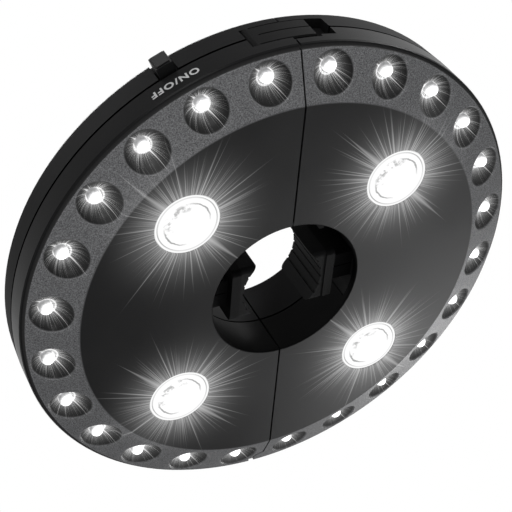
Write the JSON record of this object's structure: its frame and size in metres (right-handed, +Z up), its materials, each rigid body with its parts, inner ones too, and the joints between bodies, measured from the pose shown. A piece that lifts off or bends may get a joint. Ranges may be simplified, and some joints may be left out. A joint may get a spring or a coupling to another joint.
{
  "type": "patio umbrella light",
  "caption": "Round clip-on light whose two hinged halves close round an umbrella pole, with a ring of small lamps and spot lights facing down.",
  "frame": {"origin": "on the pole's axis, in the plane of the lamp face", "axes": "+Z up the pole, from the lamp face to the back; +Y towards the latch on the seam; +X towards the half with the power button"},
  "size_m": [0.2, 0.2, 0.038],
  "materials": {
    "housing": "fine-grained charcoal moulding",
    "button": "satin moulding",
    "jaw": "satin moulding",
    "rubber": "soft, matt",
    "lens": "clear, lit from behind",
    "reflector": "metallised",
    "lamp": "clear, glowing white",
    "board": "white solder mask",
    "switch": "plain",
    "steel": "plated",
    "contact": "nickel plated",
    "cell": "plain printed sleeve over a metal can"
  },
  "bodies": {
    "half_a": {"rear_housing_a": "housing", "front_cover_a": "housing", "ring_board_a": "board", "ring_leds_a": "lamp", "spot_leds_a": "lamp", "housing_screws_a": "steel", "battery_plates_a": "contact", "battery_springs_a": "contact", "hook_pin_a": "steel", "jaw_spring_a": "steel", "spot_lens_1": "lens", "spot_lens_2": "lens", "spot_reflector_1": "reflector", "spot_reflector_2": "reflector", "spot_board_1": "board", "spot_board_2": "board", "battery_cell_1": "cell", "battery_cell_2": "cell", "hinge_pin": "steel", "latch_pin": "steel", "tact_switch": "switch", "switch_board": "board"},
    "half_b": {"rear_housing_b": "housing", "front_cover_b": "housing", "ring_board_b": "board", "ring_leds_b": "lamp", "spot_leds_b": "lamp", "housing_screws_b": "steel", "battery_plates_b": "contact", "battery_springs_b": "contact", "hook_pin_b": "steel", "jaw_spring_b": "steel", "spot_lens_3": "lens", "spot_lens_4": "lens", "spot_reflector_3": "reflector", "spot_reflector_4": "reflector", "spot_board_3": "board", "spot_board_4": "board", "battery_cell_3": "cell", "battery_cell_4": "cell"},
    "latch_lever": {"latch_lever": "housing"},
    "power_button": {"power_button": "button", "switch_plunger": "rubber"},
    "jaw_a": {"jaw_a": "jaw", "jaw_pad_a": "rubber"},
    "jaw_b": {"jaw_b": "jaw", "jaw_pad_b": "rubber"},
    "hook_a": {"hook_a": "housing"},
    "hook_b": {"hook_b": "housing"},
    "battery_door_a": {"battery_door_a": "housing"},
    "battery_door_b": {"battery_door_b": "housing"}
  },
  "joints": [
    {"name": "half_b_hinge", "type": "hinge", "parent": "half_a", "child": "half_b", "pos_m": [0, -0.0962, 0.0184], "axis": [0, 0, 1], "range_deg": [0, 90]},
    {"name": "latch_hinge", "type": "hinge", "parent": "half_a", "child": "latch_lever", "pos_m": [0.0124, 0.09681, 0.0184], "axis": [0, 0, -1], "range_deg": [0, 75]},
    {"name": "power_button_slide", "type": "slide", "parent": "half_a", "child": "power_button", "axis": [-0.4242, -0.9056, 0], "range_m": [0, 0.0015], "stiffness_N_per_m": 300, "springref_m": -0.003},
    {"name": "jaw_a_slide", "type": "slide", "parent": "half_a", "child": "jaw_a", "axis": [1, 0, 0], "range_m": [0, 0.00879], "stiffness_N_per_m": 400, "springref_m": -0.02, "deforming": ["jaw_spring_a"]},
    {"name": "jaw_b_slide", "type": "slide", "parent": "half_b", "child": "jaw_b", "axis": [-1, 0, 0], "range_m": [0, 0.00879], "stiffness_N_per_m": 400, "springref_m": -0.02, "deforming": ["jaw_spring_b"]},
    {"name": "hook_a_hinge", "type": "hinge", "parent": "half_a", "child": "hook_a", "pos_m": [0.028, 0.044, 0.036], "axis": [1, 0, 0], "range_deg": [0, 90]},
    {"name": "hook_b_hinge", "type": "hinge", "parent": "half_b", "child": "hook_b", "pos_m": [-0.028, -0.044, 0.036], "axis": [-1, 0, 0], "range_deg": [0, 90]},
    {"name": "battery_door_a_slide", "type": "slide", "parent": "half_a", "child": "battery_door_a", "axis": [1, 0, 0], "range_m": [0, 0.0339]},
    {"name": "battery_door_b_slide", "type": "slide", "parent": "half_b", "child": "battery_door_b", "axis": [-1, 0, 0], "range_m": [0, 0.0339]}
  ]
}
